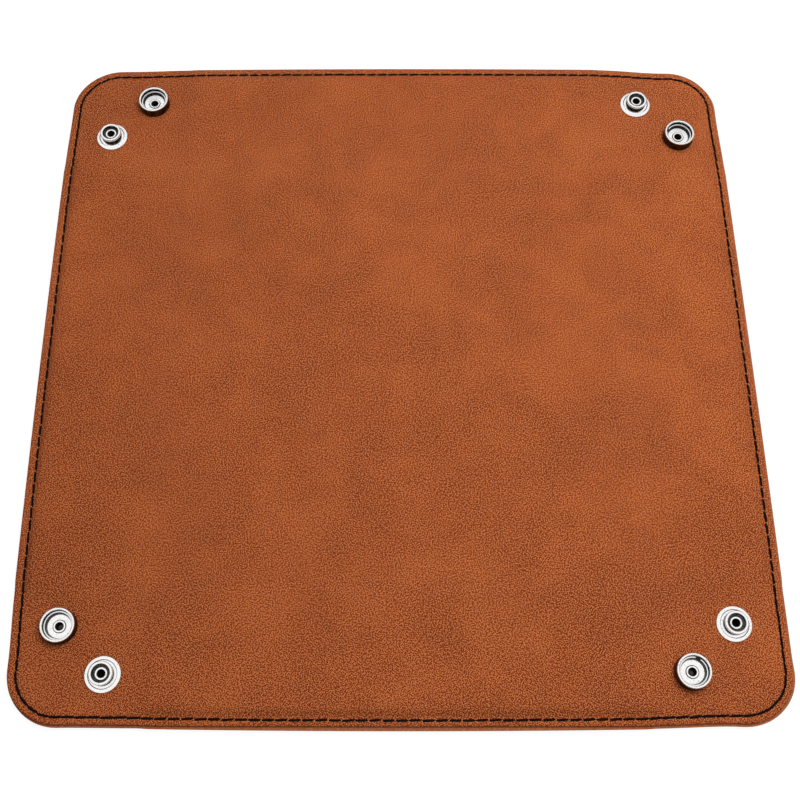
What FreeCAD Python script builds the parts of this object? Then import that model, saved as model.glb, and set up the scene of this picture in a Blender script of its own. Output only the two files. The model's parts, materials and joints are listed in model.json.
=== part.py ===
import FreeCAD, Part
import math
import os

# A snap-up valet tray, lying flat with its corners unsnapped.
# Two leatherette sheets hold five boards between them: one in the base and one in each wall.
# The corners have no board. Each is two soft leaves that fold on the diagonal between them,
# and the ring-spring socket on one leaf then closes over the stud on the other.
# Millimetres, +Z up, with the origin on the table under the middle of the base.

# Sheets and folds
base_size = 146.6
wall_height = 41.0
cover_thickness = 1.0
board_thickness = 2.0
corner_radius = 16.0
corner_draw_in = 0.6
top_cover_step = 0.5
fold_slit = 0.3
free_edge_gap = 0.4

# Boards, and how the covers come down where they end
board_to_fold = 2.0
wall_end_slope = 2.8
seam_flat = 3.4
seam_slope = 1.8
crease_depth = 0.4
crease_width = 2.0

# Stitching
stitch_inset = 2.8
stitch_pitch = 3.8
stitch_length = 3.2
stitch_width = 0.6
stitch_rise = 0.35

# Place of each snap, from the fold at the wall's foot and from the wall's end
snap_height = 25.5
snap_past_wall = 11.7

# Hollow posts that rivet the snaps through the leather
post_radius = 1.5
post_wall = 0.3
post_clearance = 0.1
lip_overhang = 0.4
lip_thickness = 0.3

# Caps and eyelets under the leather
cap_radius = 6.25
cap_height = 1.0
cap_edge = 0.3
cap_slope = 2.05
cap_floor = 0.4
eyelet_radius = 4.6

# Ring-spring sockets
socket_radius = 5.3
socket_height = 3.3
socket_sheet = 0.35
rim_width = 0.99
rim_chamfer = 0.25
spring_wire = 0.5
spring_bite = 0.14
spring_clearance = 0.05
spring_split_angle = 22.0
spring_seat = 1.6
seat_radius = 3.8

# Studs
snap_play = 0.45
stud_flange_radius = 5.3
stud_flange_thickness = 0.45
stud_step_width = 0.65
stud_step_rise = 0.3
stud_height = 3.2
stud_bulge = 0.45
stud_widest = 2.5
stud_wall = 0.85
stud_floor = 2.0

# Worked out from the sizes above
fold = base_size / 2
half = fold + wall_height
board_top = cover_thickness + board_thickness
wall_top = board_top + cover_thickness
leaf_bottom = cap_height
leaf_middle = leaf_bottom + cover_thickness
leaf_top = leaf_middle + cover_thickness
wall_end = fold - fold_slit / 2
wall_foot = fold + fold_slit / 2
wall_flat = fold - wall_end_slope
seam_side = half - seam_flat
board_edge = seam_side - seam_slope
post_hole = post_radius + post_clearance
post_bore = post_radius - post_wall
lip_radius = post_radius + lip_overhang
rim_bore = socket_radius - rim_width
spring_radius = rim_bore + spring_bite - spring_wire / 2
spring_bore = spring_radius - spring_wire / 2
head_radius = spring_bore - snap_play
x_way = FreeCAD.Vector(1, 0, 0)
y_way = FreeCAD.Vector(0, 1, 0)
z_way = FreeCAD.Vector(0, 0, 1)
middle = FreeCAD.Vector(0, 0, 0)


def slab(x_low, x_high, y_low, y_high, z_low, z_high):
    """A plain rectangular block between two corners."""
    corner = FreeCAD.Vector(x_low, y_low, z_low)
    return Part.makeBox(x_high - x_low, y_high - y_low, z_high - z_low, corner)


def outline_face(corners):
    """The flat face inside a closed outline of points."""
    return Part.Face(Part.makePolygon(corners + corners[:1]))


def prism(corners, way):
    """A closed outline of points pushed along a direction."""
    return outline_face(corners).extrude(way)


def turned(section, angle):
    """A half section, given as the radius and height of its corners, turned about Z."""
    corners = [FreeCAD.Vector(radius, 0, height) for radius, height in section]
    return outline_face(corners).revolve(middle, z_way, angle)


def cover_space(rise, x_high):
    """The space from the table to a little above the right wall's board, lower at its ends and its seam."""
    flat = board_top + rise
    low = leaf_middle + rise
    ends = [(-wall_end, 0), (-wall_end, low), (-wall_flat, flat)]
    ends += [(wall_flat, flat), (wall_end, low), (wall_end, 0)]
    across = [FreeCAD.Vector(wall_foot, y, z) for y, z in ends]
    edge = [(wall_foot, 0), (wall_foot, flat), (board_edge, flat)]
    edge += [(seam_side, low), (x_high, low), (x_high, 0)]
    along = [FreeCAD.Vector(x, -wall_end, z) for x, z in edge]
    return prism(across, x_way * (x_high - wall_foot)).common(prism(along, y_way * 2 * wall_end))


def wall_cover(x_high):
    """A cover over the right wall's board, led down to the corners' level at its ends and its seam."""
    return cover_space(cover_thickness, x_high).cut(cover_space(0, x_high))


def creased_block(edge, inner, outer):
    """The space under a crease that runs along Y: full height at inner and lower at edge."""
    crease_top = wall_top - crease_depth
    section = [(edge, 0), (edge, crease_top), (inner, wall_top), (outer, wall_top), (outer, 0)]
    corners = [FreeCAD.Vector(x, -half, z) for x, z in section]
    return prism(corners, y_way * 2 * half)


def base_top_cover():
    """The top sheet of the base, pressed down along its four folds."""
    cover = slab(-wall_end, wall_end, -wall_end, wall_end, board_top, wall_top)
    for quarter in range(4):
        space = creased_block(wall_end, fold - crease_width, -half)
        space.rotate(middle, z_way, 90 * quarter)
        cover = cover.common(space)
    return cover


def base_bottom_cover():
    return slab(-wall_end, wall_end, -wall_end, wall_end, 0, cover_thickness)


def base_board():
    reach = fold - board_to_fold
    return slab(-reach, reach, -reach, reach, cover_thickness, board_top)


def wall_top_cover():
    """The top sheet of the right wall, pressed down along its fold."""
    cover = wall_cover(half - top_cover_step)
    return cover.common(creased_block(wall_foot, fold + crease_width, half))


def wall_bottom_cover():
    """The bottom sheet of the right wall, the top one's mirror image below the board's middle."""
    return wall_cover(half).mirror(FreeCAD.Vector(0, 0, wall_top / 2), z_way)


def wall_board():
    x_low = fold + board_to_fold
    return slab(x_low, board_edge, -wall_flat, wall_flat, cover_thickness, board_top)


def stitch(x, y, angle):
    """One stitch lying on the leather at a place, turned about Z."""
    dash = slab(-stitch_length / 2, stitch_length / 2, -stitch_width / 2, stitch_width / 2, 0, stitch_rise)
    dash.rotate(middle, z_way, angle)
    dash.translate(FreeCAD.Vector(x, y, leaf_top))
    return dash


def wall_stitching():
    """A straight row of stitches along the right wall's outer edge."""
    count = round(base_size / stitch_pitch)
    row = []
    for number in range(count):
        y = base_size * (number + 0.5) / count - fold
        row.append(stitch(half - stitch_inset, y, 90))
    return Part.makeCompound(row)


def mirrored_in_corner(shape):
    """The same shape on the other side of the back right corner's diagonal."""
    return shape.mirror(middle, FreeCAD.Vector(1, -1, 0))


def leaf_layer(step, side_gap, level):
    """One layer of the leaf beside the right wall: crease, outer edge, round corner and diagonal."""
    edge = half - corner_draw_in - step
    radius = corner_radius - step
    center = edge - radius
    diagonal_gap = fold_slit / math.sqrt(2)
    side = fold + side_gap
    arc_end = math.acos(diagonal_gap / radius / math.sqrt(2)) - math.pi / 4
    corners = [FreeCAD.Vector(side + diagonal_gap, side, level)]
    corners.append(FreeCAD.Vector(edge, side, level))
    corners.append(FreeCAD.Vector(edge, center, level))
    for angle in (arc_end / 2, arc_end):
        x = center + radius * math.cos(angle)
        y = center + radius * math.sin(angle)
        corners.append(FreeCAD.Vector(x, y, level))
    straight = Part.makePolygon(corners[:3])
    round_corner = Part.Arc(*corners[2:]).toShape()
    diagonal = Part.LineSegment(corners[4], corners[0]).toShape()
    layer = Part.Face(Part.Wire(straight.Edges + [round_corner, diagonal])).extrude(z_way * cover_thickness)
    return layer.cut(Part.makeCylinder(post_hole, cover_thickness, snap_place(level)))


def leaf_leather(side_gap):
    """Both layers of the leaf beside the right wall, face to face."""
    layers = [leaf_layer(0, side_gap, leaf_bottom), leaf_layer(top_cover_step, side_gap, leaf_middle)]
    return Part.makeCompound(layers)


def leaf_stitching():
    """Stitches along the outer edge of the leaf beside the right wall, up to the diagonal."""
    edge = half - corner_draw_in - stitch_inset
    radius = corner_radius - stitch_inset
    center = edge - radius
    straight = center - fold
    length = straight + radius * math.pi / 4
    count = round(length / stitch_pitch)
    row = []
    for number in range(count):
        way = length * (number + 0.5) / count
        turn = max(0, way - straight) / radius
        x = center + radius * math.cos(turn)
        y = min(fold + way, center) + radius * math.sin(turn)
        row.append(stitch(x, y, 90 + math.degrees(turn)))
    return Part.makeCompound(row)


def snap_place(level):
    return FreeCAD.Vector(fold + snap_height, fold + snap_past_wall, level)


def placed_snap(piece, level):
    piece.translate(snap_place(level))
    return piece


def riveted_end(seat):
    """Half section of a hollow post from the leather's underside to its flared lip on a seat."""
    section = [(post_radius, leaf_bottom), (post_radius, seat), (lip_radius, seat)]
    return section + [(post_bore, seat + lip_thickness)]


def socket_cap():
    """The domed cap under the socket, with a blind hollow post riveted over inside the socket."""
    section = [(0, 0), (cap_radius - cap_slope, 0), (cap_radius, cap_height - cap_edge)]
    section += [(cap_radius, cap_height)]
    section += riveted_end(leaf_top + socket_sheet)
    section += [(post_bore, cap_floor), (0, cap_floor)]
    return placed_snap(turned(section, 360), 0)


def stud_eyelet():
    """The open eyelet under the stud, riveted over inside the stud's head."""
    section = [(post_bore, 0), (eyelet_radius - cap_edge, 0), (eyelet_radius, cap_edge)]
    section += [(eyelet_radius, cap_height)]
    section += riveted_end(leaf_top + stud_floor)
    return placed_snap(turned(section, 360), 0)


def socket():
    """A cup with a seat for the ring spring and a rim turned inwards over it."""
    rim_shoulder = socket_height - rim_chamfer
    wall_inside = socket_radius - socket_sheet
    section = [(post_hole, 0), (wall_inside, 0), (socket_radius, socket_sheet)]
    section += [(socket_radius, rim_shoulder), (socket_radius - rim_chamfer, socket_height)]
    section += [(rim_bore + rim_chamfer, socket_height)]
    section += [(rim_bore, rim_shoulder), (wall_inside, socket_height - rim_width)]
    section += [(wall_inside, spring_seat), (seat_radius, spring_seat)]
    section += [(seat_radius, socket_sheet), (post_hole, socket_sheet)]
    return placed_snap(turned(section, 360), leaf_top)


def ring_spring():
    """A wire with six flats, bent into a split ring that lies on its seat under the socket's rim."""
    level = spring_seat + spring_clearance + spring_wire / 2
    section = []
    for angle in (0, 60, 120, 180, 240, 300):
        out = math.cos(math.radians(angle)) * spring_wire / 2
        up = math.sin(math.radians(angle)) * spring_wire / 2
        section.append((spring_radius + out, level + up))
    return placed_snap(turned(section, 360 - spring_split_angle), leaf_top)


def stud():
    """A flange, a step and a bulged hollow head that the ring spring closes under."""
    step_radius = head_radius + stud_step_width
    step_top = stud_flange_thickness + stud_step_rise
    neck_radius = head_radius - stud_bulge
    cavity_radius = head_radius - stud_wall
    edge = stud_flange_thickness / 2
    section = [(post_hole, 0), (stud_flange_radius, 0), (stud_flange_radius, edge)]
    section += [(stud_flange_radius - edge, stud_flange_thickness), (step_radius, stud_flange_thickness)]
    section += [(step_radius - edge, step_top), (neck_radius, step_top), (head_radius, stud_widest)]
    section += [(neck_radius, stud_height), (cavity_radius, stud_height)]
    section += [(cavity_radius, stud_floor), (post_hole, stud_floor)]
    return placed_snap(turned(section, 360), leaf_top)


def save(shape, name, quarter):
    """Write a node, turned by quarter turns from the right wall's place."""
    shape = shape.copy()
    shape.rotate(middle, z_way, 90 * quarter)
    shape.exportStep("parts/" + name + ".step")


os.makedirs("parts", exist_ok=True)
save(base_top_cover(), "base_top_cover", 0)
save(base_bottom_cover(), "base_bottom_cover", 0)
save(base_board(), "base_board", 0)

# Going clockwise as seen from above, each wall has its socket at the end that comes first
wall = {"top_cover": wall_top_cover(), "bottom_cover": wall_bottom_cover()}
wall |= {"board": wall_board(), "stitching": wall_stitching()}
corner = {"socket_leaf": leaf_leather(fold_slit / 2), "socket_stitching": leaf_stitching()}
corner |= {"socket": socket(), "ring_spring": ring_spring(), "socket_cap": socket_cap()}
stud_side = {"stud_leaf": leaf_leather(free_edge_gap), "stud_stitching": leaf_stitching()}
stud_side |= {"stud": stud(), "stud_eyelet": stud_eyelet()}
for node, solid in stud_side.items():
    corner[node] = mirrored_in_corner(solid)
wall_names = ("right_wall", "back_wall", "left_wall", "front_wall")
corner_names = ("back_right", "back_left", "front_left", "front_right")
for quarter in range(4):
    for node, solid in wall.items():
        save(solid, wall_names[quarter] + "_" + node, quarter)
    for node, solid in corner.items():
        save(solid, corner_names[quarter] + "_" + node, quarter)
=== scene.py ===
import itertools
import json
import math
import random

import bmesh
import bpy
from bpy.props import FloatProperty, FloatVectorProperty, IntProperty, PointerProperty
from mathutils import Matrix, Vector, noise


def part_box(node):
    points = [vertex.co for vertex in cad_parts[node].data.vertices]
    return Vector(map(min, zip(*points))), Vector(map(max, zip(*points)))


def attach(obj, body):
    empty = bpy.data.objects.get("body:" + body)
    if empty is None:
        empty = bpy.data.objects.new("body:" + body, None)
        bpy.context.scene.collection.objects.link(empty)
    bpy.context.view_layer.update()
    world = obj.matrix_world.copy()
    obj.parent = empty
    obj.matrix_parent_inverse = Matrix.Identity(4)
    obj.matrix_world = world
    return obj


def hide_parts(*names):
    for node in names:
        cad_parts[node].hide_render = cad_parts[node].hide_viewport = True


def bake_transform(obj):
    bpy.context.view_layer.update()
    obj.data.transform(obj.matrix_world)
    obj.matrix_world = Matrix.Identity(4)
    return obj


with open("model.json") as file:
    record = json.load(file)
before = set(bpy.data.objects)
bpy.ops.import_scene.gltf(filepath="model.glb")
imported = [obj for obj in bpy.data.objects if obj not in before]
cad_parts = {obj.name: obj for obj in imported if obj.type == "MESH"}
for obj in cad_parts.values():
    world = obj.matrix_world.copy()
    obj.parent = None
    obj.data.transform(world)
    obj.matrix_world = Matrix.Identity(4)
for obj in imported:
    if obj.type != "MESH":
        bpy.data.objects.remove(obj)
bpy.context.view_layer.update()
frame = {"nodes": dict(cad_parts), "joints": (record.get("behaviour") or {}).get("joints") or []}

bl_info = {
    "name": "Snap-up valet tray",
    "version": (1, 0, 0),
    "blender": (4, 5, 0),
    "location": "View3D > Sidebar > Valet tray",
    "description": "Leather, thread, snaps and studio of a valet tray that lies flat",
    "category": "Object",
}

# Places and levels that the solids already have, in metres
joints = {joint["name"]: joint for joint in frame["joints"]}
fold = joints["right_wall_fold"]["pos_m"][0]
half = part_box("right_wall_bottom_cover")[1].x
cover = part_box("base_bottom_cover")[1].z
wall_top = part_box("base_top_cover")[1].z
upper_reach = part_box("right_wall_top_cover")[1].x
leaf_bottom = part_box("back_right_socket_leaf")[0].z
leaf_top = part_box("back_right_socket_leaf")[1].z
socket_place = sum(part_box("back_right_socket"), Vector()) / 2
stud_place = sum(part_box("back_right_stud"), Vector()) / 2
socket_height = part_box("back_right_socket")[1].z - leaf_top
stud_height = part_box("back_right_stud")[1].z - leaf_top

# Where the draws, slopes and grooves of the sheets start and how wide they fade, in metres
edge_fade = 0.030
step_start, step_fade = fold - 0.003, 0.005
draw_fade = 0.022
tip_start, tip_fade = 0.147, 0.008
soft_start, soft_fade = fold - 0.0040, 0.0105
crease_end, crease_fade = fold - 0.002, 0.006
snap_clear, snap_fade = 0.0062, 0.006
roll_width = 0.0005
groove_width = 0.0006
gap_reach = 1.2 * fold

# Points of a sheet that lie closer than this are one point, in metres
merge = 0.00002

# Share of its solid's thickness that a sheet fills, so that the two sheets never touch
layer_fill = 0.985

walls = ("right_wall", "back_wall", "left_wall", "front_wall")
corners = ("back_right", "back_left", "front_left", "front_right")


def length_property(name, description, metres):
    """A length that a user can change."""
    return FloatProperty(name=name, description=description, default=metres, unit="LENGTH")


def lengths_property(name, description, metres):
    """Several lengths that belong together."""
    return FloatVectorProperty(
        name=name, description=description, size=len(metres), default=metres, subtype="XYZ_LENGTH")


def angle_property(name, description, degrees):
    """An angle that a user can change."""
    return FloatProperty(name=name, description=description, default=math.radians(degrees), subtype="ANGLE")


def colour_property(name, description, colour):
    """A colour that a user can change."""
    return FloatVectorProperty(name=name, description=description, default=colour, subtype="COLOR")


def edge_property(side, metres):
    """How one wall's edge lies out of its true line."""
    return lengths_property(side + " edge", "Shift, tilt and bow of this wall's edge", metres)


def draw_property(corner, metres):
    """How one soft corner draws in."""
    return lengths_property(corner + " draw", "How far this soft corner draws in on its two sides", metres)


class ValetLeather(bpy.types.PropertyGroup):
    """The two leather sheets and how they bend."""

    corner_radius: length_property("Corner radius", "Radius of the sheets' round corners", 0.0164)
    end_step: length_property("Wall end step", "How far the edge steps in where a wall's board ends", 0.0002)
    right_edge: edge_property("Right", (0.00039, -0.00036, 0.00014))
    back_edge: edge_property("Back", (0.00047, -0.00017, 0.00039))
    left_edge: edge_property("Left", (0.00027, -0.00036, 0.00034))
    front_edge: edge_property("Front", (0.00026, 0.00037, 0.00056))
    back_right_draw: draw_property("Back right", (0.00064, 0.00133))
    back_left_draw: draw_property("Back left", (0.00058, 0.00049))
    front_left_draw: draw_property("Front left", (0.00064, 0.00024))
    front_right_draw: draw_property("Front right", (0.00050, -0.00012))
    tips: lengths_property(
        "Corner tips", "How far each round tip lies out, from back right to front right",
        (0.0, -0.0003, 0.0001, 0.0007))
    crease_depth: length_property("Crease depth", "Depth of the crease along each fold", 0.00013)
    crease_width: length_property("Crease width", "Half width of the crease along each fold", 0.0010)
    slip: length_property(
        "Slip", "How far the upper sheet slipped to the back and left, and the lower the other way", 0.00015)
    front_gap: length_property(
        "Front gap", "How far the upper sheet's front edge draws in at its middle", 0.0004)
    edge_roll: length_property("Edge roll", "How far the upper sheet's cut edge rolls down", 0.00022)
    seam_depth: length_property("Seam depth", "Depth of the groove that the stitching pulls in", 0.00018)
    seam_inset: length_property("Seam inset", "Distance of the stitching from the edge", 0.0028)
    seam_flat: length_property("Seam flat", "Width of the sewn edge where both sheets meet", 0.0030)
    seam_slope: length_property(
        "Seam slope", "Width over which the sheets come together outside a board", 0.0026)
    ripple: length_property("Ripple", "Unevenness of the soft corners", 0.00022)
    post_hole: length_property("Post hole", "Radius of the holes that the snaps' posts go through", 0.00155)
    bend: length_property("Fold bend", "Half width of the leather that bends at a wall's fold", 0.0030)
    hairpin: length_property(
        "Corner bend", "Half width of the leather that bends at a corner's diagonal", 0.0035)
    mesh_step: length_property("Mesh step", "Spacing of the lines that divide the sheets", 0.0024)
    dark: colour_property("Dark tan", "Darkest clouds of the leather", (0.242, 0.0340, 0.0054))
    tan: colour_property("Tan", "Main colour of the leather", (0.364, 0.0600, 0.0105))
    light: colour_property("Light tan", "Lightest clouds of the leather", (0.504, 0.1040, 0.0210))
    # The grain tips colour is a painted highlight and the grain pits colour a painted shade.
    painted_grain_highlight: colour_property("Grain tips", "Colour of the tips of the fine grain", (0.640, 0.215, 0.0720))
    painted_grain_shade: colour_property("Grain pits", "Colour of the pits of the fine grain", (0.136, 0.0170, 0.0030))
    # The cut edge colour is partly the backing's own colour and partly a painted highlight.
    raw_edge_and_highlight: colour_property("Cut edge", "Colour of the cut edges", (0.48, 0.215, 0.100))
    board: colour_property("Board", "Colour of the stiffening boards", (0.095, 0.080, 0.064))


class ValetThread(bpy.types.PropertyGroup):
    """The sewing thread."""

    pitch: length_property("Stitch pitch", "Distance from one stitch to the next", 0.0038)
    length: length_property("Stitch length", "Length of a stitch above the leather", 0.0038)
    width: length_property("Thread width", "Width of the thread", 0.00072)
    colour: colour_property("Thread", "Colour of the thread", (0.0045, 0.0032, 0.0030))


class ValetSnaps(bpy.types.PropertyGroup):
    """The snap fasteners."""

    steps: IntProperty(
        name="Steps round", description="Faces round each turned part", default=72, min=24, max=128)
    wire: length_property("Spring wire", "Diameter of the ring spring's wire", 0.0005)
    split_place: angle_property("Spring split", "Direction of the ring spring's gap", 155)
    nickel: colour_property("Nickel", "Colour of the plating", (0.95, 0.94, 0.93))
    # The bore colour is painted shade for the dark depth of the hollow posts' holes.
    bore: colour_property("Bore", "Colour of the unplated inside of the posts", (0.010, 0.009, 0.008))


class ValetStage(bpy.types.PropertyGroup):
    """Floor, light and camera."""

    lens: FloatProperty(
        name="Lens", description="Focal length of the camera on a 36 mm sensor",
        default=50.17, min=10, unit="CAMERA")
    camera_distance: length_property("Camera distance", "From the camera to the point it looks at", 0.35642)
    camera_elevation: angle_property("Camera elevation", "Angle of the camera above the table", 68.197)
    camera_azimuth: angle_property("Camera azimuth", "Turn of the camera about the tray", -1.508)
    camera_roll: angle_property("Camera roll", "Turn of the camera about its own view", 1.298)
    target: FloatVectorProperty(
        name="Target", description="Point on the table that the camera looks at",
        default=(0.001013, -0.012645, 0.0), subtype="TRANSLATION")
    floor: colour_property("Floor", "Colour of the floor", (0.82, 0.82, 0.82))


def take_up(obj):
    """Make one object the only selected and active one."""
    bpy.ops.object.select_all(action="DESELECT")
    obj.select_set(True)
    bpy.context.view_layer.objects.active = obj


def turned(vector, quarter):
    """A vector turned by quarter turns about Z, without rounding."""
    x, y, z = vector
    for _ in range(quarter % 4):
        x, y = -y, x
    return Vector((x, y, z))


def ease(value, start, width):
    """Smooth rise from 0 at a start to 1 one width further on."""
    share = min(max((value - start) / width, 0.0), 1.0)
    return share * share * (3 - 2 * share)


def edge_distance(x, y, reach, radius):
    """Distance from a point of a round-cornered square to its edge."""
    core = reach - radius
    out_x = abs(x) - core
    out_y = abs(y) - core
    if out_x > 0 and out_y > 0:
        return radius - math.hypot(out_x, out_y)
    return reach - max(abs(x), abs(y))


def sheet_radius(reach, leather):
    """Corner radius of a sheet with a reach of its own."""
    return leather.corner_radius - half + reach


def edge_push(quarter, along, leather):
    """How far one side's edge lies outside its true line, at a place along that side."""
    shift, tilt, bow = getattr(leather, walls[quarter].replace("wall", "edge"))
    if along > 0:
        draw = getattr(leather, corners[quarter] + "_draw")[0]
    else:
        draw = getattr(leather, corners[quarter - 1] + "_draw")[1]
    share = min(max(along / fold, -1.0), 1.0)
    push = shift + tilt * share - bow * share * share
    push -= leather.end_step * ease(abs(along), step_start, step_fade)
    return push - draw * ease(abs(along), fold, draw_fade)


def drawn_in(x, y, layer, leather):
    """Where a point of a flat sheet lies on the real tray, whose edges aren't quite straight."""
    place = Vector((x, y, 0))
    moved = place.copy()
    for quarter in range(4):
        local = turned(place, -quarter)
        share = ease(local.x, half - edge_fade, edge_fade)
        if share > 0:
            push = edge_push(quarter, local.y, leather)
            slip = leather.slip if layer == "top" else -leather.slip
            push += slip if walls[quarter] in ("back_wall", "left_wall") else -slip
            if layer == "top" and walls[quarter] == "front_wall":
                push -= leather.front_gap * ease(gap_reach - abs(local.y), 0.0, fold)
            moved += turned((push * share, 0, 0), quarter)
        tip = leather.tips[quarter] * ease((local.x + local.y) / math.sqrt(2), tip_start, tip_fade)
        moved += turned((tip, tip, 0), quarter) / math.sqrt(2)
    return moved.x, moved.y


def corner_share(x, y):
    """0 on the base and walls, 1 on the soft corners, and smooth between."""
    return ease(abs(x), soft_start, soft_fade) * ease(abs(y), soft_start, soft_fade)


def ripple(x, y, leather):
    """Slow unevenness, strongest on the soft corners and none under the snaps."""
    share = corner_share(x, y)
    if share == 0:
        return 0.0
    calm = 1.0
    for place in (socket_place, stud_place):
        for quarter in range(4):
            spot = turned(place, quarter)
            calm *= ease(math.hypot(x - spot.x, y - spot.y), snap_clear, snap_fade)
    waves = 55
    return leather.ripple * share * calm * noise.noise(Vector((x * waves, y * waves, 3.1)))


def low_share(x, y, leather):
    """0 over the boards, 1 where the sheets meet at the soft corners and the sewn edge, smooth between."""
    inside = edge_distance(x, y, half, leather.corner_radius)
    return 1 - (1 - corner_share(x, y)) * ease(inside, leather.seam_flat, leather.seam_slope)


def pressed_edge(x, y, reach, slip, leather):
    """How deep a sheet is pressed at its rolled edge and along the seam, which doesn't slip with it."""
    inside = edge_distance(x, y, reach, sheet_radius(reach, leather))
    seam = edge_distance(x - slip, y + slip, half, leather.corner_radius) - leather.seam_inset
    roll = leather.edge_roll * max(0.0, 1 - inside / roll_width) ** 2
    return roll + leather.seam_depth * math.exp(-((seam / groove_width) ** 2))


def upper_level(x, y, leather):
    """Height of the upper sheet's face before it is pressed."""
    return wall_top - (wall_top - leaf_top) * low_share(x, y, leather) + ripple(x, y, leather)


def upper_press(x, y, leather):
    """How far the upper sheet's face is pressed down along the folds and its edge."""
    depth = pressed_edge(x, y, upper_reach, 2 * leather.slip, leather)
    for along, across in ((x, y), (y, x)):
        bell = math.exp(-((abs(along) - fold) / leather.crease_width) ** 2)
        fade = 0.7 * ease(abs(across), crease_end, crease_fade)
        depth += leather.crease_depth * bell * (1 - fade)
    return -depth


def lower_level(x, y, leather):
    """Height of the lower sheet's underside before it is pressed."""
    return leaf_bottom * low_share(x, y, leather) + ripple(x, y, leather)


def lower_press(x, y, leather):
    """How far the lower sheet's underside is pressed up along its edge."""
    return pressed_edge(x, y, half, 0.0, leather)


# Each sheet's reach, level and pressed outside, and to which side of its level its thickness goes
layers = {
    "top": (upper_reach, upper_level, upper_press, -1.0),
    "bottom": (half, lower_level, lower_press, 1.0),
}


def select_faces(mesh, wanted):
    """Select the faces of the mesh in edit mode whose middle passes a test."""
    shape = bmesh.from_edit_mesh(mesh)
    shape.select_mode = {"FACE"}
    for face in shape.faces:
        face.select_set(wanted(face.calc_center_median()))
    shape.select_flush_mode()
    bmesh.update_edit_mesh(mesh)


def flat_sheet(name, reach, leather):
    """A round-cornered sheet with rings along its edge and lines across it, still flat."""
    radius = sheet_radius(reach, leather)
    bpy.ops.mesh.primitive_plane_add(size=2 * reach)
    sheet = bpy.context.object
    sheet.name = name
    bpy.ops.object.mode_set(mode="EDIT")
    bpy.ops.mesh.select_mode(type="VERT")
    bpy.ops.mesh.select_all(action="SELECT")
    bpy.ops.mesh.bevel(offset=radius, offset_type="OFFSET", segments=20, affect="VERTICES")
    bpy.ops.mesh.select_mode(type="FACE")
    bpy.ops.mesh.select_all(action="SELECT")
    inside = 0.0
    seam_rings = (0.0016, 0.0021, 0.0025, 0.0028, 0.0031, 0.0035, 0.0039, 0.0043, 0.0048)
    for ring in [0.00018, roll_width] + [at - half + reach for at in seam_rings]:
        bpy.ops.mesh.inset(thickness=ring - inside, depth=0)
        inside = ring
    bend = leather.bend
    lines = [fold + bend * step / 4 for step in range(-4, 5)]
    count = round(2 * (fold - bend) / leather.mesh_step)
    lines += [(fold - bend) * (2 * step / count - 1) for step in range(1, count)]
    past_rings = 0.0010
    outer = half - fold - bend - seam_rings[-1] - past_rings
    count = round(outer / leather.mesh_step)
    lines += [fold + bend + outer * step / count for step in range(1, count + 1)]
    lines += [-at for at in lines if at > fold - 1.5 * bend]
    for at in lines:
        for way in (Vector((1, 0, 0)), Vector((0, 1, 0))):
            bpy.ops.mesh.select_all(action="SELECT")
            bpy.ops.mesh.bisect(plane_co=way * at, plane_no=way, threshold=merge)
    for quarter in range(4):
        apex = turned((fold, fold, 0), quarter)
        out = apex.normalized()
        inner_end = apex.length - 0.004
        way = turned((1, -1, 0), quarter).normalized()
        for step in range(-5, 6):
            select_faces(sheet.data, lambda middle: middle.dot(out) > inner_end)
            line = apex + way * leather.hairpin * step / 5
            bpy.ops.mesh.bisect(plane_co=line, plane_no=way, threshold=merge)
    bpy.ops.mesh.select_all(action="SELECT")
    bpy.ops.mesh.remove_doubles(threshold=merge / 2)
    bpy.ops.object.mode_set(mode="OBJECT")
    return sheet


def panel_test(quarter, kind, leather):
    """A test for whether a point of the sheet lies in one panel."""
    near = fold - leather.bend
    offset = leather.hairpin * math.sqrt(2)

    def wanted(middle):
        x, y, _ = turned(middle, -quarter)
        if kind == "base":
            return max(abs(x), abs(y)) < near or near < abs(x) < fold and near < abs(y) < fold
        if kind == "wall":
            return x > near and abs(y) < near or x > fold and -fold < y < -near
        if kind == "socket_leaf":
            return x > fold and y > near and (y < fold or x - y > offset)
        return x > fold and y > fold and x - y < offset

    return wanted


def cut_panel(sheet, name, wanted):
    """A copy of the sheet that keeps only the faces in one panel."""
    take_up(sheet)
    bpy.ops.object.duplicate()
    panel = bpy.context.object
    panel.name = name
    bpy.ops.object.mode_set(mode="EDIT")
    bpy.ops.mesh.select_mode(type="FACE")
    select_faces(panel.data, lambda middle: not wanted(middle))
    bpy.ops.mesh.delete(type="FACE")
    bpy.ops.object.mode_set(mode="OBJECT")
    return panel


def lay_sheet(panel, layer, leather):
    """Lay a flat panel at its level, mark its cut edge, and say how deep each point is pressed."""
    reach, level, press, _ = layers[layer]
    radius = sheet_radius(reach, leather)
    edge = panel.vertex_groups.new(name="cut_edge")
    depths = []
    for vertex in panel.data.vertices:
        x, y, _ = vertex.co
        if edge_distance(x, y, reach, radius) < 2 * merge:
            edge.add([vertex.index], 1.0, "REPLACE")
        height = level(x, y, leather)
        depths.append(press(x, y, leather))
        vertex.co.x, vertex.co.y = drawn_in(x, y, layer, leather)
        vertex.co.z = height
    return depths


def modify(obj, kind, **settings):
    """Add a modifier to an object and apply it."""
    take_up(obj)
    bpy.ops.object.modifier_add(type=kind)
    modifier = obj.modifiers[-1]
    for name, value in settings.items():
        setattr(modifier, name, value)
    bpy.ops.object.modifier_apply(modifier=modifier.name)


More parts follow.
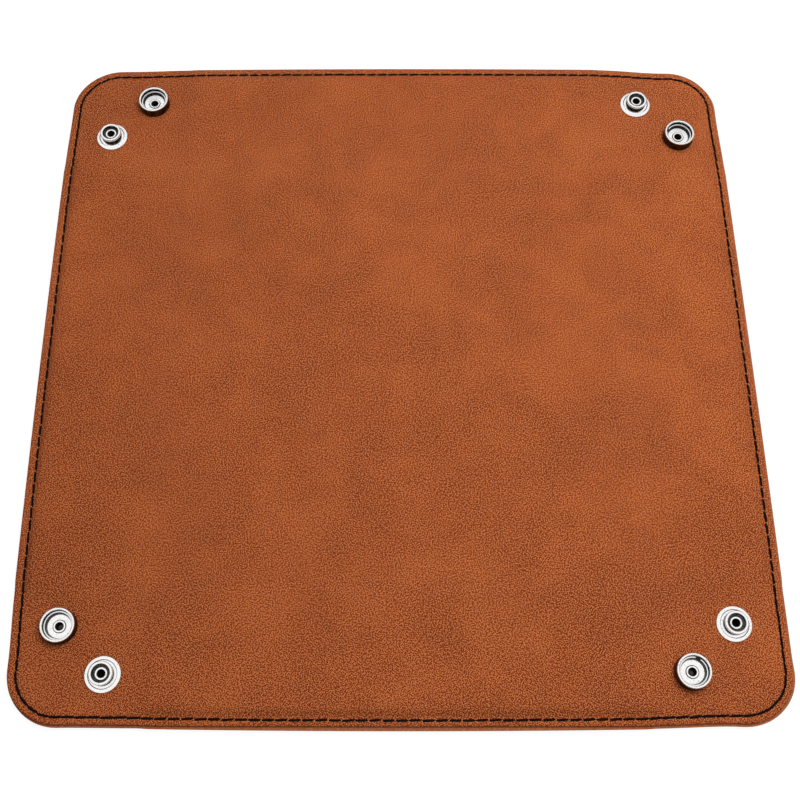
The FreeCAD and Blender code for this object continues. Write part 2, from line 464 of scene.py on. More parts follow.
def pierce(panel, place, radius):
    """Punch the hole that a snap's post goes through, its corners turned off the sheet's lines."""
    bpy.ops.mesh.primitive_cylinder_add(
        vertices=32, radius=radius, depth=0.02, location=(place.x, place.y, 0), rotation=(0, 0, 0.07))
    punch = bpy.context.object
    modify(panel, "BOOLEAN", object=punch, operation="DIFFERENCE", solver="EXACT")
    bpy.data.objects.remove(punch)
    if max(vertex.co.z for vertex in panel.data.vertices) > 2 * wall_top:
        raise RuntimeError("the punch stayed in " + panel.name)


def thicken(panel, offset, depths, materials):
    """Give a laid panel its thickness, press its outside in, and give its cut edge the cut-edge colour, which
    is partly a painted highlight.
    """
    modify(panel, "SOLIDIFY", thickness=cover * layer_fill, offset=offset)
    points = panel.data.vertices
    inside = set()
    for index, depth in enumerate(depths):
        pair = (points[index], points[index + len(depths)])
        inner, outer = sorted(pair, key=lambda point: -offset * point.co.z)
        outer.co.z += depth
        inside.add(inner.index)
    for material in materials:
        panel.data.materials.append(material)
    edge = panel.vertex_groups["cut_edge"].index
    rim = {vertex.index for vertex in panel.data.vertices if any(g.group == edge for g in vertex.groups)}
    for face in panel.data.polygons:
        if all(index in rim for index in face.vertices) or all(index in inside for index in face.vertices):
            face.material_index = 1
    panel.vertex_groups.clear()


def add_tongues(panel, quarter):
    """Give a wall's lower panel a thin tongue at both ends, which closes the folded corner."""
    tongues = []
    steps = 6
    inner = fold - 0.0015
    outer = fold + 0.0009
    past_fold = 0.0013
    length = 0.0068
    thickness = 0.00024
    level = leaf_bottom + cover
    for side in (-1, 1):
        middle = turned(((inner + outer) / 2, side * (fold + past_fold), level), quarter)
        bpy.ops.mesh.primitive_cube_add(size=1, location=middle, rotation=(0, 0, quarter * math.pi / 2))
        tongue = bpy.context.object
        tongue.scale = (outer - inner, length, thickness)
        bpy.ops.object.transform_apply(location=True, rotation=True, scale=True)
        bpy.ops.object.mode_set(mode="EDIT")
        for step in range(1, steps):
            bpy.ops.mesh.select_all(action="SELECT")
            way = turned((1, 0, 0), quarter)
            bpy.ops.mesh.bisect(plane_co=way * (inner + (outer - inner) * step / steps), plane_no=way)
        bpy.ops.object.mode_set(mode="OBJECT")
        tongue.data.materials.append(panel.data.materials[0])
        tongues.append(tongue)
    return joined([panel] + tongues, panel.name)


def keep_rest_place(obj):
    """Store where each point lies at rest, so that a pattern bends with the leather."""
    places = obj.data.attributes.new("rest_place", "FLOAT_VECTOR", "POINT")
    for vertex in obj.data.vertices:
        places.data[vertex.index].vector = vertex.co


def bend_with(obj, kind):
    """Attach a piece on the base to the base's body, and bake any other piece's place into its mesh."""
    if kind == "base":
        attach(obj, "base")
    elif kind == "wall":
        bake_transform(obj)
    elif kind == "socket_leaf":
        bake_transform(obj)
    else:
        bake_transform(obj)


def declare_panel(node):
    """Hide the solid that a panel stands for."""
    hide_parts(node)


def leather_panels(layer, leather):
    """One whole sheet, laid, and cut at the folds into the base, four walls and eight leaves."""
    face = material_of("tan_leatherette", leatherette, leather)
    edge = material_of("cut_leather_edge", cut_edge, leather)
    reach, _, _, offset = layers[layer]
    sheet = flat_sheet(layer + "_sheet", reach, leather)
    plan = [(0, "base", "base", "base_%s_cover" % layer, "base_board")]
    for quarter in range(4):
        wall = walls[quarter]
        corner = corners[quarter]
        plan.append((quarter, "wall", wall, "%s_%s_cover" % (wall, layer), wall + "_board"))
        for kind in ("socket_leaf", "stud_leaf"):
            node = corner + "_" + kind
            plan.append((quarter, kind, node, node, node))
    for quarter, kind, name, node, carrier in plan:
        panel = cut_panel(sheet, "%s_%s_leather" % (name, layer), panel_test(quarter, kind, leather))
        depths = lay_sheet(panel, layer, leather)
        thicken(panel, offset, depths, (face, edge))
        if kind.endswith("leaf"):
            place = socket_place if kind == "socket_leaf" else stud_place
            pierce(panel, turned(place, quarter), leather.post_hole)
        if kind == "wall" and layer == "bottom":
            panel = add_tongues(panel, quarter)
        take_up(panel)
        bpy.ops.object.shade_smooth_by_angle(angle=math.radians(38))
        keep_rest_place(panel)
        declare_panel(node)
        bend_with(panel, kind)
    bpy.data.objects.remove(sheet)


def seam_size(leather):
    """Reach and corner radius of the square that the seam runs round."""
    return half - leather.seam_inset, leather.corner_radius - leather.seam_inset


def seam_point(way, leather):
    """A point of the seam beside the right wall and round the back right corner, on the flat sheet."""
    reach, radius = seam_size(leather)
    core = reach - radius
    straight = core + fold
    if way < straight:
        return Vector((reach, way - fold, 0))
    turn = (way - straight) / radius
    if turn < math.pi / 2:
        return Vector((core + radius * math.cos(turn), core + radius * math.sin(turn), 0))
    return Vector((core - (way - straight - radius * math.pi / 2), reach, 0))


def seam_length(leather):
    """Length of a quarter of the seam, from the open end of one wall to that of the next."""
    reach, radius = seam_size(leather)
    return 2 * (reach - radius) + radius * math.pi / 2


def laid_seam_point(way, quarter, layer, leather):
    """The same point of one quarter's seam on the outside of a laid sheet."""
    _, level, press, _ = layers[layer]
    flat = turned(seam_point(way, leather), quarter)
    slip = 2 * leather.slip if layer == "top" else 0.0
    height = level(flat.x, flat.y, leather) + press(flat.x + slip, flat.y - slip, leather)
    x, y = drawn_in(flat.x, flat.y, "bottom", leather)
    return Vector((x, y, height))


def one_stitch(thread):
    """A stitch of twisted thread that rises out of the leather and dives into it again."""
    bpy.ops.mesh.primitive_cylinder_add(
        vertices=8, radius=thread.width / 2, depth=thread.length, rotation=(0, math.pi / 2, 0))
    stitch = bpy.context.object
    stitch.name = "stitch"
    bpy.ops.object.transform_apply(location=False, rotation=True, scale=False)
    bpy.ops.object.mode_set(mode="EDIT")
    for share in (-0.43, -0.28, 0.28, 0.43):
        bpy.ops.mesh.select_all(action="SELECT")
        way = Vector((1, 0, 0))
        bpy.ops.mesh.bisect(plane_co=way * thread.length * share, plane_no=way, threshold=0.000001)
    bpy.ops.object.mode_set(mode="OBJECT")
    strand = stitch.data.attributes.new("strand", "FLOAT_VECTOR", "POINT")
    for vertex in stitch.data.vertices:
        strand.data[vertex.index].vector = vertex.co
        share = abs(2 * vertex.co.x / thread.length)
        end = share ** 6
        slim = 1 - 0.3 * end
        vertex.co.y *= slim
        vertex.co.z *= 0.8 * slim
        vertex.co.z += thread.width * (0.32 - 0.45 * end)
    return stitch


def copy_of(obj, name, matrix):
    """A copy with its own mesh, moved by a matrix that goes into the mesh."""
    take_up(obj)
    bpy.ops.object.duplicate()
    copy = bpy.context.object
    copy.name = name
    copy.data.transform(matrix)
    return copy


def joined(objects, name):
    """Several objects made one."""
    bpy.ops.object.select_all(action="DESELECT")
    for obj in objects:
        obj.select_set(True)
    bpy.context.view_layer.objects.active = objects[0]
    bpy.ops.object.join()
    objects[0].name = name
    return objects[0]


def turn_section(name, section, steps, material):
    """A turned part from a closed half section of radius and height in millimetres."""
    bpy.ops.mesh.primitive_circle_add(vertices=len(section), radius=0.001)
    part = bpy.context.object
    part.name = name
    for vertex, (radius, height) in zip(part.data.vertices, section):
        vertex.co = Vector((radius, 0, height)) / 1000
    bpy.ops.object.mode_set(mode="EDIT")
    bpy.ops.mesh.select_all(action="SELECT")
    bpy.ops.mesh.spin(steps=steps, angle=2 * math.pi, center=(0, 0, 0), axis=(0, 0, 1))
    bpy.ops.mesh.select_all(action="SELECT")
    bpy.ops.mesh.remove_doubles(threshold=0.0000005)
    bpy.ops.mesh.select_all(action="SELECT")
    bpy.ops.mesh.normals_make_consistent(inside=False)
    bpy.ops.object.mode_set(mode="OBJECT")
    bpy.ops.object.shade_smooth_by_angle(angle=math.radians(40))
    part.data.materials.append(material)
    return part


def arc(middle, radius, start, end, count):
    """Points of a round stretch of a half section, in millimetres and degrees."""
    points = []
    for step in range(count + 1):
        angle = math.radians(start + (end - start) * step / count)
        points.append((middle[0] + radius * math.cos(angle), middle[1] + radius * math.sin(angle)))
    return points


def rivet_lip(seat):
    """The end of a hollow post flared over a seat, in millimetres: flat on top and rounded into the bore."""
    lip = [(1.5, seat), (1.82, seat)] + arc((1.68, seat + 0.15), 0.15, -20, 80, 4)
    return lip + [(1.42, seat + 0.3), (1.29, seat + 0.24), (1.22, seat + 0.08), (1.2, seat - 0.2)]


def finish_zone(part, material, wanted):
    """Give the faces of a turned part whose radius and height in millimetres pass a test their own finish."""
    part.data.materials.append(material)
    for face in part.data.polygons:
        middle = face.center * 1000
        if wanted(math.hypot(middle.x, middle.y), middle.z):
            face.material_index = len(part.data.materials) - 1


def set_inputs(tree, node, **values):
    """Set a node's inputs and settings, and link the inputs for which another node's output is given."""
    for name, value in values.items():
        key = name.replace("_", " ")
        if key not in node.inputs:
            setattr(node, name, value)
        elif isinstance(value, bpy.types.NodeSocket):
            tree.links.new(value, node.inputs[key])
        else:
            node.inputs[key].default_value = value
    return node


def node_of(tree, kind, **values):
    """A new node with its inputs and settings."""
    return set_inputs(tree, tree.nodes.new(kind), **values)


def linked(tree, kind, *sources, **settings):
    """A new node whose inputs are linked, in their order, to other nodes' outputs."""
    node = node_of(tree, kind, **settings)
    for source, socket in zip(sources, node.inputs):
        tree.links.new(source, socket)
    return node


def material_of(name, finish, *choices):
    """The material of that name, finished when it is first asked for."""
    material = bpy.data.materials.get(name)
    if not material:
        material = bpy.data.materials.new(name)
        material.use_nodes = True
        finish(material.node_tree, material.node_tree.nodes["Principled BSDF"], *choices)
    return material


def mixed(tree, share, first, second):
    """A colour between two colours."""
    node = tree.nodes.new("ShaderNodeMix")
    node.data_type = "RGBA"
    tree.links.new(share, node.inputs[0])
    for value, socket in ((first, node.inputs[6]), (second, node.inputs[7])):
        if isinstance(value, bpy.types.NodeSocket):
            tree.links.new(value, socket)
        else:
            socket.default_value = (*value, 1)
    return node.outputs[2]


def ranged(tree, value, before, after=(0.0, 1.0)):
    """A value spread from one range to another."""
    node = node_of(tree, "ShaderNodeMapRange", Value=value)
    for socket, number in zip(node.inputs[1:5], before + after):
        socket.default_value = number
    return node.outputs[0]


def noise_of(tree, place, scale, detail, roughness, distortion=0.0, dimensions="3D"):
    """Noise at a place, its scale in waves to the metre."""
    node = node_of(
        tree, "ShaderNodeTexNoise", noise_dimensions=dimensions, Vector=place, Scale=scale,
        Detail=detail, Roughness=roughness, Distortion=distortion)
    return node.outputs[0]


def bumped(tree, height, strength, distance):
    """The surface's direction where a height roughens it."""
    return node_of(tree, "ShaderNodeBump", Strength=strength, Distance=distance, Height=height).outputs[0]


def object_place(tree):
    """A point's place in its own object."""
    return node_of(tree, "ShaderNodeTexCoord").outputs["Object"]


def stored_place(tree, name):
    """A point's place as it was stored in the mesh."""
    return node_of(tree, "ShaderNodeAttribute", attribute_name=name).outputs["Vector"]


def turned_place(tree, place, *angles):
    """A place turned about X, Y and Z."""
    return node_of(tree, "ShaderNodeMapping", Vector=place, Rotation=angles).outputs[0]


def shaded(colour, share):
    """A colour made darker or lighter by a share."""
    return tuple(channel * share for channel in colour)


def leatherette(tree, shader, leather):
    """Tan leatherette: clouds of light and dark, a faint mottle, and a fine grain whose tips carry a painted
    highlight and whose pits a painted shade.
    """
    flat = stored_place(tree, "rest_place")
    place = turned_place(tree, flat, 0.61, 0.43, 0.27)
    cloud = noise_of(tree, place, scale=40, detail=3, roughness=0.72, distortion=0.25)
    mottle = noise_of(tree, place, scale=420, detail=1, roughness=0.62)
    grain_place = turned_place(tree, flat, 0.0, 0.0, 0.61)
    grain = noise_of(tree, grain_place, scale=2900, detail=0.5, roughness=0.5, dimensions="2D")
    tone = mixed(tree, ranged(tree, cloud, (0.355, 0.50), (1.0, 0.0)), leather.tan, leather.dark)
    tone = mixed(tree, ranged(tree, cloud, (0.50, 0.645)), tone, leather.light)
    tone = mixed(tree, ranged(tree, mottle, (0.30, 0.55), (0.05, 0.0)), tone, leather.dark)
    # Painted highlight on the grain's tips and painted shade in its pits.
    tone = mixed(tree, ranged(tree, grain, (0.50, 0.62)), tone, leather.painted_grain_highlight)
    tone = mixed(tree, ranged(tree, grain, (0.38, 0.50), (1.0, 0.0)), tone, leather.painted_grain_shade)
    set_inputs(
        tree, shader, Base_Color=tone, Roughness=ranged(tree, mottle, (0.3, 0.7), (0.55, 0.70)),
        Normal=bumped(tree, grain, strength=0.5, distance=0.00012), Specular_IOR_Level=0.15)


def cut_edge(tree, shader, leather):
    """Cut edge of the leatherette, lighter than its face: partly the colour of its backing, partly a painted
    highlight; with the fibres of its backing.
    """
    fibre = noise_of(tree, stored_place(tree, "rest_place"), scale=1800, detail=4, roughness=0.7)
    tone = mixed(tree, ranged(tree, fibre, (0.3, 0.7)), leather.tan, leather.raw_edge_and_highlight)
    rough = bumped(tree, fibre, strength=0.5, distance=0.0002)
    set_inputs(tree, shader, Base_Color=tone, Roughness=0.8, Normal=rough, Specular_IOR_Level=0.2)


def pressed_board(tree, shader, leather):
    """Grey-brown pressed board with short fibres."""
    fibre = noise_of(tree, object_place(tree), scale=900, detail=5, roughness=0.7, distortion=1.2)
    tone = mixed(tree, ranged(tree, fibre, (0.35, 0.68)), leather.board, shaded(leather.board, 1.7))
    rough = bumped(tree, fibre, strength=0.4, distance=0.0002)
    set_inputs(tree, shader, Base_Color=tone, Roughness=0.9, Normal=rough)


def twisted_thread(tree, shader, thread):
    """Black twisted thread."""
    place = turned_place(tree, stored_place(tree, "strand"), 0.0, 0.0, math.radians(38))
    wave = node_of(tree, "ShaderNodeTexWave", Vector=place, Scale=520.0, Distortion=1.5, Detail=2.0)
    twist = wave.outputs["Fac"]
    tone = mixed(tree, twist, thread.colour, shaded(thread.colour, 3.2))
    rough = bumped(tree, twist, strength=0.6, distance=0.00012)
    set_inputs(tree, shader, Base_Color=tone, Roughness=0.85, Normal=rough, Specular_IOR_Level=0.06)


def bright_nickel(tree, shader, snaps):
    """Bright nickel plate with small dents, small dark specks that are painted reflections, and wiped marks.
    """
    place = object_place(tree)
    wipe = noise_of(tree, place, scale=620, detail=4, roughness=0.62)
    reflection_speck = noise_of(tree, place, scale=2600, detail=2, roughness=0.5)
    # Painted reflection: small dark specks in the bright nickel.
    reflection_speck_tone = shaded(snaps.nickel, 0.30)
    tone = mixed(tree, ranged(tree, reflection_speck, (0.30, 0.38), (0.85, 0.0)), snaps.nickel, reflection_speck_tone)
    set_inputs(
        tree, shader, Base_Color=tone, Roughness=ranged(tree, wipe, (0.3, 0.7), (0.14, 0.32)),
        Normal=bumped(tree, wipe, strength=0.12, distance=0.00015), Metallic=1.0)


def nickel_darkened_as_shade(tree, shader, snaps, low, high):
    """Nickel darkened as painted shade, varied by noise between two shares of its brightness."""
    shade_noise = noise_of(tree, object_place(tree), scale=900, detail=4, roughness=0.65)
    share = ranged(tree, shade_noise, (0.38, 0.72))
    tone = mixed(tree, share, shaded(snaps.nickel, low), shaded(snaps.nickel, high))
    gloss = ranged(tree, shade_noise, (0.3, 0.7), (0.22, 0.4))
    set_inputs(tree, shader, Base_Color=tone, Roughness=gloss, Metallic=1.0)


def dark_nickel(snaps):
    """Nearly black nickel: painted shade in the grooves, under the rims and heads, round the rivets, in the
    holes and on the sides.
    """
    return material_of("dark_nickel", nickel_darkened_as_shade, snaps, 0.02, 0.11)


def dull_nickel(snaps):
    """Grey nickel, painted shade inside the studs' heads."""
    return material_of("dull_nickel", nickel_darkened_as_shade, snaps, 0.16, 0.42)


def bore_in_painted_shade(tree, shader, snaps):
    """Near-black inside of the hollow posts and their closed ends, painted shade for the depth of the holes.
    """
    bore_noise = noise_of(tree, object_place(tree), scale=1400, detail=3, roughness=0.6)
    tone = mixed(tree, ranged(tree, bore_noise, (0.35, 0.7)), snaps.bore, shaded(snaps.bore, 2.5))
    set_inputs(tree, shader, Base_Color=tone, Roughness=0.7, Specular_IOR_Level=0.15)


def spring_wire(tree, shader, snaps):
    """Bright drawn spring wire."""
    draw = noise_of(tree, object_place(tree), scale=3000, detail=3, roughness=0.6)
    tone = mixed(tree, draw, shaded(snaps.nickel, 0.85), snaps.nickel)
    gloss = ranged(tree, draw, (0.3, 0.7), (0.12, 0.22))
    set_inputs(tree, shader, Base_Color=tone, Roughness=gloss, Metallic=1.0)


def plain_felt(tree, shader, colour):
    """Felt of one colour without gloss."""
    set_inputs(tree, shader, Base_Color=colour, Roughness=1.0)


def fit_corners(parts, spot, side):
    """Copy parts to all four corners, each at its level and named for its node, hide those nodes, attach the
    copies to the corner's side, and remove the patterns; each part's slot is not used.
    """
    for quarter, corner in enumerate(corners):
        turn = Matrix.Rotation(quarter * math.pi / 2, 4, "Z")
        for part, level, ending, slot in parts:
            node = corner + "_" + ending
            place = Matrix.Translation((spot.x, spot.y, level))
            piece = copy_of(part, node + "_metal", turn @ place)
            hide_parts(node)
            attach(piece, corner + side)
    for part, _, _, _ in parts:
        bpy.data.objects.remove(part)


class ValetUpperLeather(bpy.types.Operator):
    """Lay the upper leather sheet over the boards, divided at the folds"""

    bl_idname = "valet.upper_leather"
    bl_label = "Upper leather"

    def execute(self, context):
        leather_panels("top", context.scene.valet_leather)
        return {"FINISHED"}


class ValetLowerLeather(bpy.types.Operator):
    """Lay the lower leather sheet under the boards, divided at the folds"""

    bl_idname = "valet.lower_leather"
    bl_label = "Lower leather"

    def execute(self, context):
        leather_panels("bottom", context.scene.valet_leather)
        return {"FINISHED"}


class ValetBoards(bpy.types.Operator):
    """Finish the stiffening boards between the sheets"""

    bl_idname = "valet.boards"
    bl_label = "Boards"

    def execute(self, context):
        material = material_of("grey_board", pressed_board, context.scene.valet_leather)
        for panel in ("base",) + walls:
            board = frame["nodes"][panel + "_board"]
            board.data.materials.clear()
            board.data.materials.append(material)
        return {"FINISHED"}


class ValetStitching(bpy.types.Operator):
    """Sew both sheets together along the edge"""

    bl_idname = "valet.stitching"
    bl_label = "Stitching"

    def execute(self, context):
        leather = context.scene.valet_leather
        thread = context.scene.valet_thread
        chance = random.Random(11)
        pattern = one_stitch(thread)
        pattern.data.materials.append(material_of("black_thread", twisted_thread, thread))
        length = seam_length(leather)
        count = round(length / thread.pitch)
        wall_part = 2 * fold - leather.bend
        reach, radius = seam_size(leather)
        middle_of_corner = reach - (1 - math.pi / 4) * radius + fold
        stretches = {"wall": (0.88, 0.97), "socket_leaf": (0.97, 1.05), "stud_leaf": (0.97, 1.05)}
        most_slant = 4.5
        wander = 0.00006
        small_step = 0.0003
        for quarter in range(4):
            rows = {kind: [] for kind in stretches}
            for layer, number in itertools.product(layers, range(count)):
                way = length * (number + 0.5) / count
                kind = "wall" if way < wall_part else "socket_leaf" if way < middle_of_corner else "stud_leaf"
                stretch = chance.uniform(*stretches[kind])
                slant = math.tan(math.radians(chance.uniform(0.0, most_slant)))
                aside = chance.uniform(-1, 1) * wander
                stitch = copy_of(pattern, "stitch", Matrix.Diagonal((stretch, 1, 1, 1)))
                for vertex in stitch.data.vertices:
                    x, y, z = vertex.co
                    place = laid_seam_point(way + x, quarter, layer, leather)
                    ahead = laid_seam_point(way + x + small_step, quarter, layer, leather) - place
                    across = Vector((-ahead.y, ahead.x, 0)).normalized()
                    place += across * (y + slant * x + aside)
                    vertex.co = place + Vector((0, 0, z if layer == "top" else -z))
                if layer == "bottom":
                    stitch.data.flip_normals()
                rows[kind].append(stitch)
            for kind, row in rows.items():
                owner = walls[quarter] if kind == "wall" else corners[quarter]
                node = owner + ("_stitching" if kind == "wall" else "_" + kind.replace("leaf", "stitching"))
                seam = joined(row, node.replace("stitching", "thread"))
                take_up(seam)
                bpy.ops.object.shade_smooth_by_angle(angle=math.radians(50))
                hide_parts(node)
                if kind == "wall":
                    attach(seam, owner)
                else:
                    bend_with(seam, kind)
        bpy.data.objects.remove(pattern)
        return {"FINISHED"}


class ValetSockets(bpy.types.Operator):
    """Turn the four sockets with their ring springs and riveted caps"""

    bl_idname = "valet.sockets"
    bl_label = "Sockets"

    def execute(self, context):
        snaps = context.scene.valet_snaps
        nickel = material_of("bright_nickel", bright_nickel, snaps)
        bore = material_of("dark_bore", bore_in_painted_shade, snaps)
        low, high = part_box("back_right_socket")
        radius = (high.x - low.x) * 500
        height = socket_height * 1000
        sheet = 0.35
        rim = radius - 0.22
        roll = 0.3
        seat = 1.6
        section = [(1.6, 0.0), (radius - 0.35, 0.0)] + arc((radius - 0.35, 0.35), 0.35, -80, 0, 4)
        section += [(radius, 0.8), (radius - 0.06, 1.1), (rim, 1.7)]
        section += arc((rim - roll, height - roll), roll, 0, 86, 6)
        section += arc((radius - 0.72, height - 0.27), 0.27, 94, 190, 6)
        section += [(radius - 0.85, height - 0.5), (radius - sheet - 0.12, height - 0.84)]
        section += [(radius - sheet, height - 1.0), (radius - sheet, seat + 0.1)]
        section += [(radius - sheet - 0.1, seat)]
        section += [(3.92, seat), (3.8, seat - 0.1), (3.74, seat - 0.3), (3.56, 0.7)]
        section += arc((3.32, 0.6), 0.24, 0, -90, 3) + [(2.0, 0.35), (1.6, 0.35)]
        cup = turn_section("socket", section, snaps.steps, nickel)
        # Painted shade: nearly black nickel on the socket's outer side, in the groove under the rim, on the
        # seat and inner wall, and round the rivet.
        finish_zone(cup, dark_nickel(snaps), lambda r, z: (
            r > rim - 0.1 and z < height - roll - 0.05 or r > 3.4 and 0.45 < z < height - 0.35
            or r < 2.0 and 0.2 < z < 0.5))
        half_wire = snaps.wire * 500
        level = seat + 0.05 + half_wire
        section = []
        for angle in range(15, 375, 30):
            out, up = math.cos(math.radians(angle)), math.sin(math.radians(angle))
            out = math.copysign(abs(out) ** 0.6, out)
            up = math.copysign(abs(up) ** 0.6, up)
            section.append((4.14 + 0.32 * out, level + half_wire * up))
        drawn = material_of("spring_wire", spring_wire, snaps)
        wire = turn_section("ring_spring", section, snaps.steps, drawn)
        self.open_ring(wire, snaps)
        post = leaf_top * 1000 + sheet
        section = [(0.0, 0.0), (3.9, 0.0), (4.9, 0.06), (5.6, 0.2), (6.05, 0.42), (6.22, 0.66), (6.25, 0.8)]
        section += [(6.25, 0.94), (6.2, 1.0), (1.5, 1.0)] + rivet_lip(post)
        section += [(1.2, 0.8), (1.0, 0.62), (0.0, 0.58)]
        cap = turn_section("socket_cap", section, snaps.steps, nickel)
        # Painted shade: the bore of the cap's post is near black.
        finish_zone(cap, bore, lambda r, z: 1.05 < r < 1.23 and z > 0.55)
        # Painted shade: the cap's middle, seen through the hollow post, is nearly black nickel.
        finish_zone(cap, dark_nickel(snaps), lambda r, z: r < 1.05 and z > 0.35)
        fit_corners((
            (cup, leaf_top, "socket", "nickel"), (wire, leaf_top, "ring_spring", "spring_steel"),
            (cap, 0.0, "socket_cap", "nickel")), socket_place, "_socket_side")
        return {"FINISHED"}

    def open_ring(self, wire, snaps):
        """Cut the gap into the ring and close the two ends of its wire."""
        take_up(wire)
        bpy.ops.object.mode_set(mode="EDIT")
        half_gap = math.radians(11)
        select_faces(wire.data, lambda middle: abs(math.atan2(middle.y, middle.x)) < half_gap)
        bpy.ops.mesh.delete(type="FACE")
        bpy.ops.mesh.select_all(action="SELECT")
        bpy.ops.mesh.fill_holes(sides=0)
        bpy.ops.mesh.select_all(action="SELECT")
        bpy.ops.mesh.normals_make_consistent(inside=False)
        bpy.ops.object.mode_set(mode="OBJECT")
        wire.data.transform(Matrix.Rotation(snaps.split_place, 4, "Z"))


class ValetStuds(bpy.types.Operator):
    """Turn the four studs with the eyelets that hold them"""

    bl_idname = "valet.studs"
    bl_label = "Studs"

    def execute(self, context):
        snaps = context.scene.valet_snaps
        nickel = material_of("bright_nickel", bright_nickel, snaps)
        bore = material_of("dark_bore", bore_in_painted_shade, snaps)
        low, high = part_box("back_right_stud")
        flange = (high.x - low.x) * 500
        top = stud_height * 1000
        head = 3.5
        wall = 0.85
        section = [(1.6, 0.0), (flange - 0.12, 0.0), (flange, 0.1)]
        section += arc((flange - 0.22, 0.22), 0.22, 0, 80, 4)
        section += [(4.45, 0.47), (4.28, 0.52), (4.18, 0.62), (4.08, 0.72), (3.92, 0.77), (3.4, 0.79)]
        section += [(3.14, 0.86), (3.05, 1.02), (3.05, 1.5), (3.14, 1.82), (3.36, 2.18), (head, 2.5)]
        section += arc((head - 0.3, top - 0.3), 0.3, 0, 86, 6)
        section += arc((head - wall + 0.22, top - 0.22), 0.22, 94, 180, 5)
        lip_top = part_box("back_right_stud_eyelet")[1].z * 1000
        seat = lip_top - 0.3
        floor = seat - leaf_top * 1000
        section += [(head - wall, floor + 0.3), (head - wall - 0.08, floor + 0.08)]
        section += [(2.4, floor), (2.0, floor), (1.6, floor)]
        stud = turn_section("stud", section, snaps.steps, nickel)
        # Painted shade: nearly black nickel under the head's overhang, at the neck's foot on the flange, on
        # the floor of the head's hollow and along the flange's foot.
        finish_zone(stud, dark_nickel(snaps), lambda r, z: (
            3.0 < r < head + 0.02 and 0.83 < z < 2.62 or 3.0 < r < 3.65 and 0.6 < z < 0.9
            or 1.5 < r < head - wall + 0.02 and floor - 0.1 < z < floor + 0.25
            or r > flange - 0.1 and z < 0.12))
        # Painted shade: grey nickel on the inner wall of the head's hollow.
        finish_zone(stud, dull_nickel(snaps), lambda r, z: (
            head - wall - 0.1 < r < head - wall + 0.03 and floor + 0.25 < z < top - 0.2))
        section = [(0.0, 1.3), (1.2, 1.3), (1.2, 0.16), (1.36, 0.0)]
        section += [(4.1, 0.0), (4.42, 0.08), (4.58, 0.24), (4.6, 0.4), (4.6, 0.94), (4.55, 1.0), (1.5, 1.0)]
        section += rivet_lip(seat) + [(1.2, 1.5), (0.0, 1.5)]
        eyelet = turn_section("stud_eyelet", section, snaps.steps, nickel)
        # Painted shade: the eyelet's bore and the disc that closes it are near black, standing for the hole's
        # shadow.
        finish_zone(eyelet, bore, lambda r, z: r < 1.23)
        fit_corners((
            (stud, leaf_top, "stud", "nickel"), (eyelet, 0.0, "stud_eyelet", "nickel")),
            stud_place, "_stud_side")
        return {"FINISHED"}


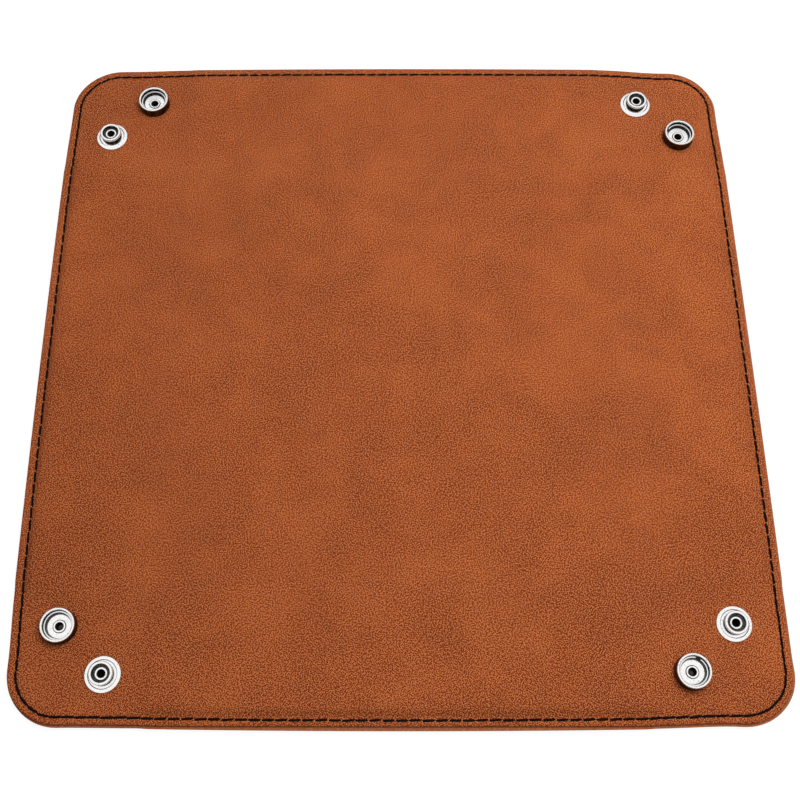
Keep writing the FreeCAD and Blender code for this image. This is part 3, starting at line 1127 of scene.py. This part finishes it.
class ValetStudio(bpy.types.Operator):
    """Set the pale floor, the soft lights and the camera"""

    bl_idname = "valet.studio"
    bl_label = "Studio"

    def execute(self, context):
        stage = context.scene.valet_stage
        self.floor(stage)
        self.lights(context.scene)
        self.camera(context.scene, stage)
        context.scene.view_settings.view_transform = "Standard"
        return {"FINISHED"}

    def floor(self, stage):
        """A pale floor that looks white and gives the tray's shadow."""
        bpy.ops.mesh.primitive_plane_add(size=6, location=(0, 0, -0.0003))
        floor = bpy.context.object
        floor.name = "floor"
        material = bpy.data.materials.new("pale_floor")
        material.use_nodes = True
        tree = material.node_tree
        tree.nodes.clear()
        plain = node_of(tree, "ShaderNodeBsdfDiffuse", Color=(*stage.floor, 1))
        soft = node_of(tree, "ShaderNodeBsdfDiffuse", Color=(0.16, 0.16, 0.16, 1))
        glow = node_of(tree, "ShaderNodeEmission", Color=(1, 1, 1, 1), Strength=0.93)
        seen = linked(tree, "ShaderNodeAddShader", soft.outputs[0], glow.outputs[0])
        mix = linked(tree, "ShaderNodeMixShader", self.seen_ray(tree), plain.outputs[0], seen.outputs[0])
        linked(tree, "ShaderNodeOutputMaterial", mix.outputs[0])
        floor.data.materials.append(material)

    def seen_ray(self, tree):
        """1 for rays that show the background, straight or mirrored, and 0 for those that light the tray."""
        path = node_of(tree, "ShaderNodeLightPath").outputs
        seen = path["Is Camera Ray"]
        for kind in ("Is Glossy Ray", "Is Transmission Ray"):
            seen = linked(tree, "ShaderNodeMath", seen, path[kind], operation="MAXIMUM").outputs[0]
        return seen

    def lights(self, scene):
        """A white background, a weak fill from all round, and two soft lamps."""
        world = bpy.data.worlds.new("studio")
        scene.world = world
        world.use_nodes = True
        tree = world.node_tree
        tree.nodes.clear()
        seen = node_of(tree, "ShaderNodeBackground", Color=(1, 1, 1, 1), Strength=1.0)
        fill = node_of(tree, "ShaderNodeBackground", Color=(1, 0.90, 0.89, 1), Strength=0.19)
        mix = linked(tree, "ShaderNodeMixShader", self.seen_ray(tree), fill.outputs[0], seen.outputs[0])
        linked(tree, "ShaderNodeOutputWorld", mix.outputs[0])
        self.lamp("key", place=(0.17, 0.06, 0.45), size=0.30, power=1.84, colour=(0.955, 0.975, 1.0))
        self.lamp("top", place=(-0.125, 0.333, 0.58), size=0.45, power=0.72, colour=(1.0, 0.96, 0.95))
        self.flag()

    def flag(self):
        """A low dark ring round the set that only mirrors see, so that bright metal keeps black accents."""
        bpy.ops.mesh.primitive_cylinder_add(
            vertices=48, radius=0.9, depth=0.48, end_fill_type="NOTHING", location=(0, 0, 0.26))
        ring = bpy.context.object
        ring.name = "dark_flag"
        black = (0.01, 0.01, 0.01, 1)
        felt = material_of("black_felt", plain_felt, black)
        ring.data.materials.append(felt)
        ring.visible_camera = False
        ring.visible_diffuse = False
        ring.visible_shadow = False
        ring.visible_transmission = False

    def lamp(self, name, place, size, power, colour):
        """A square lamp that shines at the middle of the tray and isn't seen in the metal."""
        bpy.ops.object.light_add(type="AREA", location=place)
        lamp = bpy.context.object
        lamp.name = name
        lamp.data.size = size
        lamp.data.energy = power
        lamp.data.color = colour
        lamp.visible_glossy = False
        lamp.rotation_mode = "QUATERNION"
        lamp.rotation_quaternion = (-Vector(place)).to_track_quat("-Z", "Y")

    def camera(self, scene, stage):
        """The camera of the photo."""
        azimuth = stage.camera_azimuth
        flat = math.cos(stage.camera_elevation)
        back = Vector((math.sin(azimuth) * flat, -math.cos(azimuth) * flat, math.sin(stage.camera_elevation)))
        bpy.ops.object.camera_add(location=Vector(stage.target) + back * stage.camera_distance)
        camera = bpy.context.object
        camera.name = "photo_camera"
        camera.data.sensor_width = 36
        camera.data.lens = stage.lens
        camera.data.clip_start = 0.01
        camera.rotation_mode = "QUATERNION"
        look = (-back).to_track_quat("-Z", "Y")
        camera.rotation_quaternion = look @ Matrix.Rotation(stage.camera_roll, 3, "Z").to_quaternion()
        scene.camera = camera


class ValetPanel(bpy.types.Panel):
    """The tray's steps and sizes"""

    bl_idname = "VIEW3D_PT_valet_tray"
    bl_label = "Valet tray"
    bl_space_type = "VIEW_3D"
    bl_region_type = "UI"
    bl_category = "Valet tray"

    def draw(self, context):
        for step in steps:
            self.layout.operator(step.bl_idname)
        for name, group in groups.items():
            box = self.layout.box()
            for size in group.__annotations__:
                box.prop(getattr(context.scene, name), size)


groups = {
    "valet_leather": ValetLeather,
    "valet_thread": ValetThread,
    "valet_snaps": ValetSnaps,
    "valet_stage": ValetStage,
}
steps = (
    ValetUpperLeather, ValetLowerLeather, ValetBoards, ValetStitching, ValetSockets, ValetStuds, ValetStudio)


def register():
    for name, group in groups.items():
        bpy.utils.register_class(group)
        setattr(bpy.types.Scene, name, PointerProperty(type=group))
    for step in steps + (ValetPanel,):
        bpy.utils.register_class(step)


def unregister():
    for step in (ValetPanel,) + steps[::-1]:
        bpy.utils.unregister_class(step)
    for name, group in groups.items():
        delattr(bpy.types.Scene, name)
        bpy.utils.unregister_class(group)


def main():
    register()
    bpy.ops.valet.upper_leather()
    bpy.ops.valet.lower_leather()
    bpy.ops.valet.boards()
    bpy.ops.valet.stitching()
    bpy.ops.valet.sockets()
    bpy.ops.valet.studs()
    bpy.ops.valet.studio()


if __name__ == "__main__":
    main()
